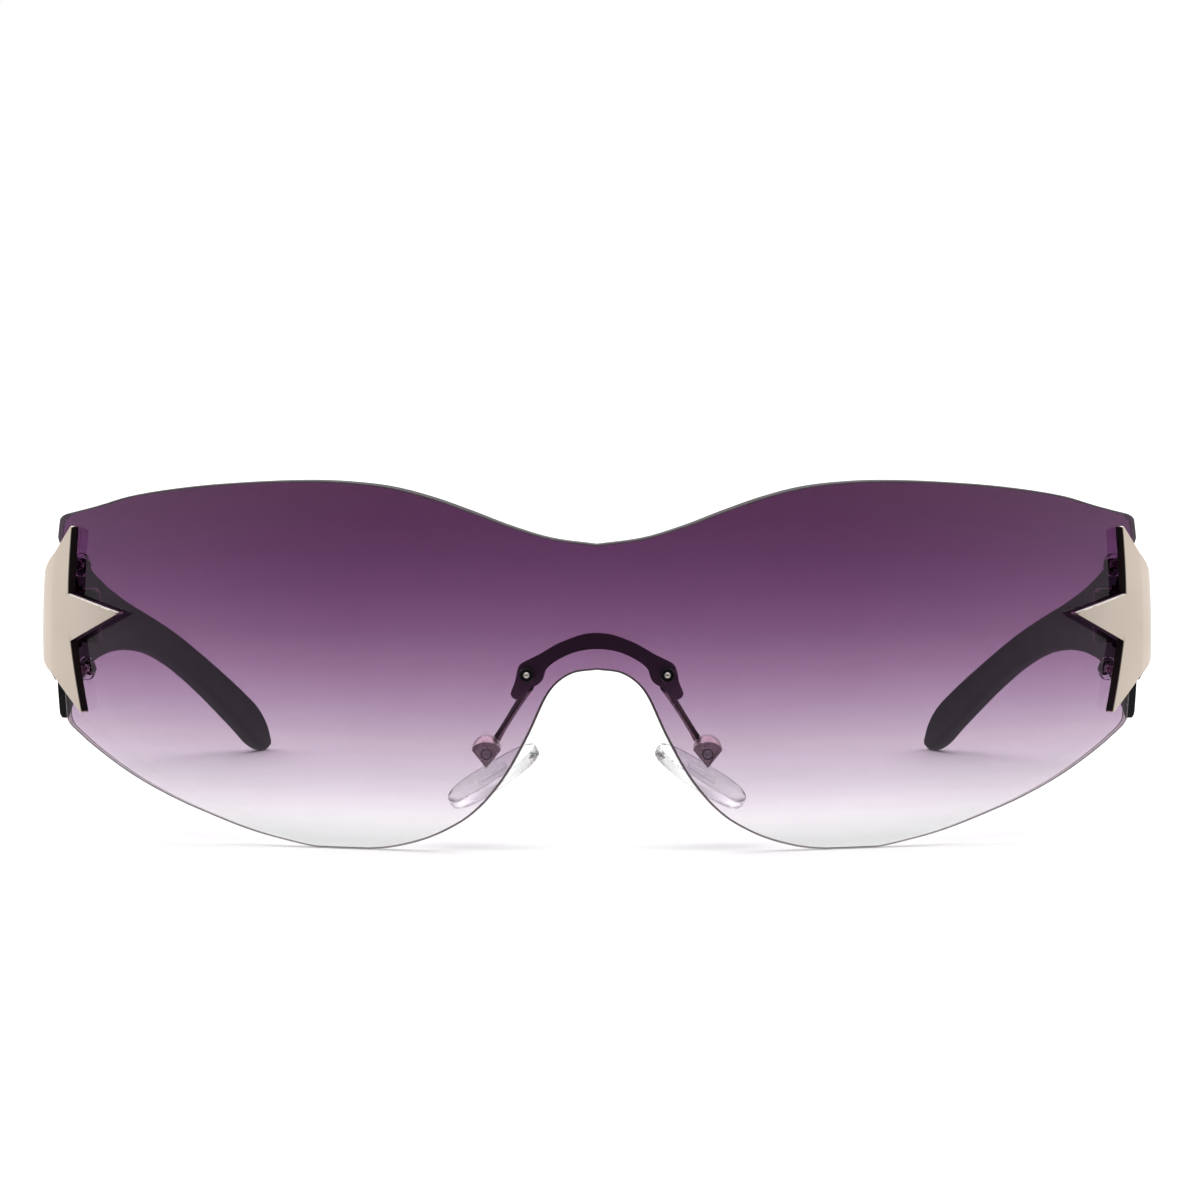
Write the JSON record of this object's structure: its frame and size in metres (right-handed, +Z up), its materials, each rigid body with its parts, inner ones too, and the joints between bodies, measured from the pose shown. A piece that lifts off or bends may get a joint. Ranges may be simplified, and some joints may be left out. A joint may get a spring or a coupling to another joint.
{
  "type": "wraparound sunglasses",
  "caption": "Rimless wraparound sunglasses with a curved gradient shield lens, metal stars bent over its ends, folding flared temples and rocking clear nose pads.",
  "frame": {"origin": "centre of the bounding box at its base, which is the surface the glasses stand on", "axes": "+Z up, -Y the way the lens faces, +Y back along the open temples, +X to the wearer's left"},
  "size_m": [0.1458, 0.15, 0.0472],
  "materials": {
    "tinted_lens": "polished, violet at the top fading to clear at the bottom",
    "polished_nickel": "polished pale champagne nickel",
    "charcoal_plastic": "satin",
    "gunmetal": "dark satin plating",
    "black_plastic": "matte",
    "bright_steel": "turned",
    "clear_silicone": "clear and soft",
    "clear_plastic": "clear"
  },
  "bodies": {
    "front": {"shield_lens": "tinted_lens", "bridge_plate": "gunmetal", "bridge_pin_left": "bright_steel", "bridge_bush_left": "black_plastic", "pad_arm_left": "gunmetal", "pad_box_left": "gunmetal", "pad_screw_left": "bright_steel", "star_left": "polished_nickel", "peg_washer_upper_left": "clear_plastic", "peg_washer_lower_left": "clear_plastic", "peg_nut_upper_left": "gunmetal", "peg_nut_lower_left": "gunmetal", "hinge_bracket_left": "gunmetal", "hinge_screw_left": "bright_steel", "bridge_pin_right": "bright_steel", "bridge_bush_right": "black_plastic", "pad_arm_right": "gunmetal", "pad_box_right": "gunmetal", "pad_screw_right": "bright_steel", "star_right": "polished_nickel", "peg_washer_upper_right": "clear_plastic", "peg_washer_lower_right": "clear_plastic", "peg_nut_upper_right": "gunmetal", "peg_nut_lower_right": "gunmetal", "hinge_bracket_right": "gunmetal", "hinge_screw_right": "bright_steel"},
    "temple_left": {"temple_left": "charcoal_plastic", "hinge_leaf_left": "gunmetal", "leaf_rivet_front_left": "bright_steel", "leaf_rivet_rear_left": "bright_steel"},
    "nose_pad_left": {"nose_pad_left": "clear_silicone", "pad_insert_left": "clear_plastic"},
    "temple_right": {"temple_right": "charcoal_plastic", "hinge_leaf_right": "gunmetal", "leaf_rivet_front_right": "bright_steel", "leaf_rivet_rear_right": "bright_steel"},
    "nose_pad_right": {"nose_pad_right": "clear_silicone", "pad_insert_right": "clear_plastic"}
  },
  "joints": [
    {"name": "temple_fold_left", "type": "hinge", "parent": "front", "child": "temple_left", "pos_m": [0.0668, -0.04573, 0.02841], "axis": [0, 0, 1], "range_deg": [0, 86]},
    {"name": "temple_fold_right", "type": "hinge", "parent": "front", "child": "temple_right", "pos_m": [-0.0668, -0.04573, 0.02841], "axis": [0, 0, -1], "range_deg": [0, 76]},
    {"name": "nose_pad_rock_left", "type": "hinge", "parent": "front", "child": "nose_pad_left", "pos_m": [0.01425, -0.06147, 0.0118], "axis": [0, 1, 0], "range_deg": [-10, 10]},
    {"name": "nose_pad_rock_right", "type": "hinge", "parent": "front", "child": "nose_pad_right", "pos_m": [-0.01425, -0.06147, 0.0118], "axis": [0, -1, 0], "range_deg": [-10, 10]}
  ]
}
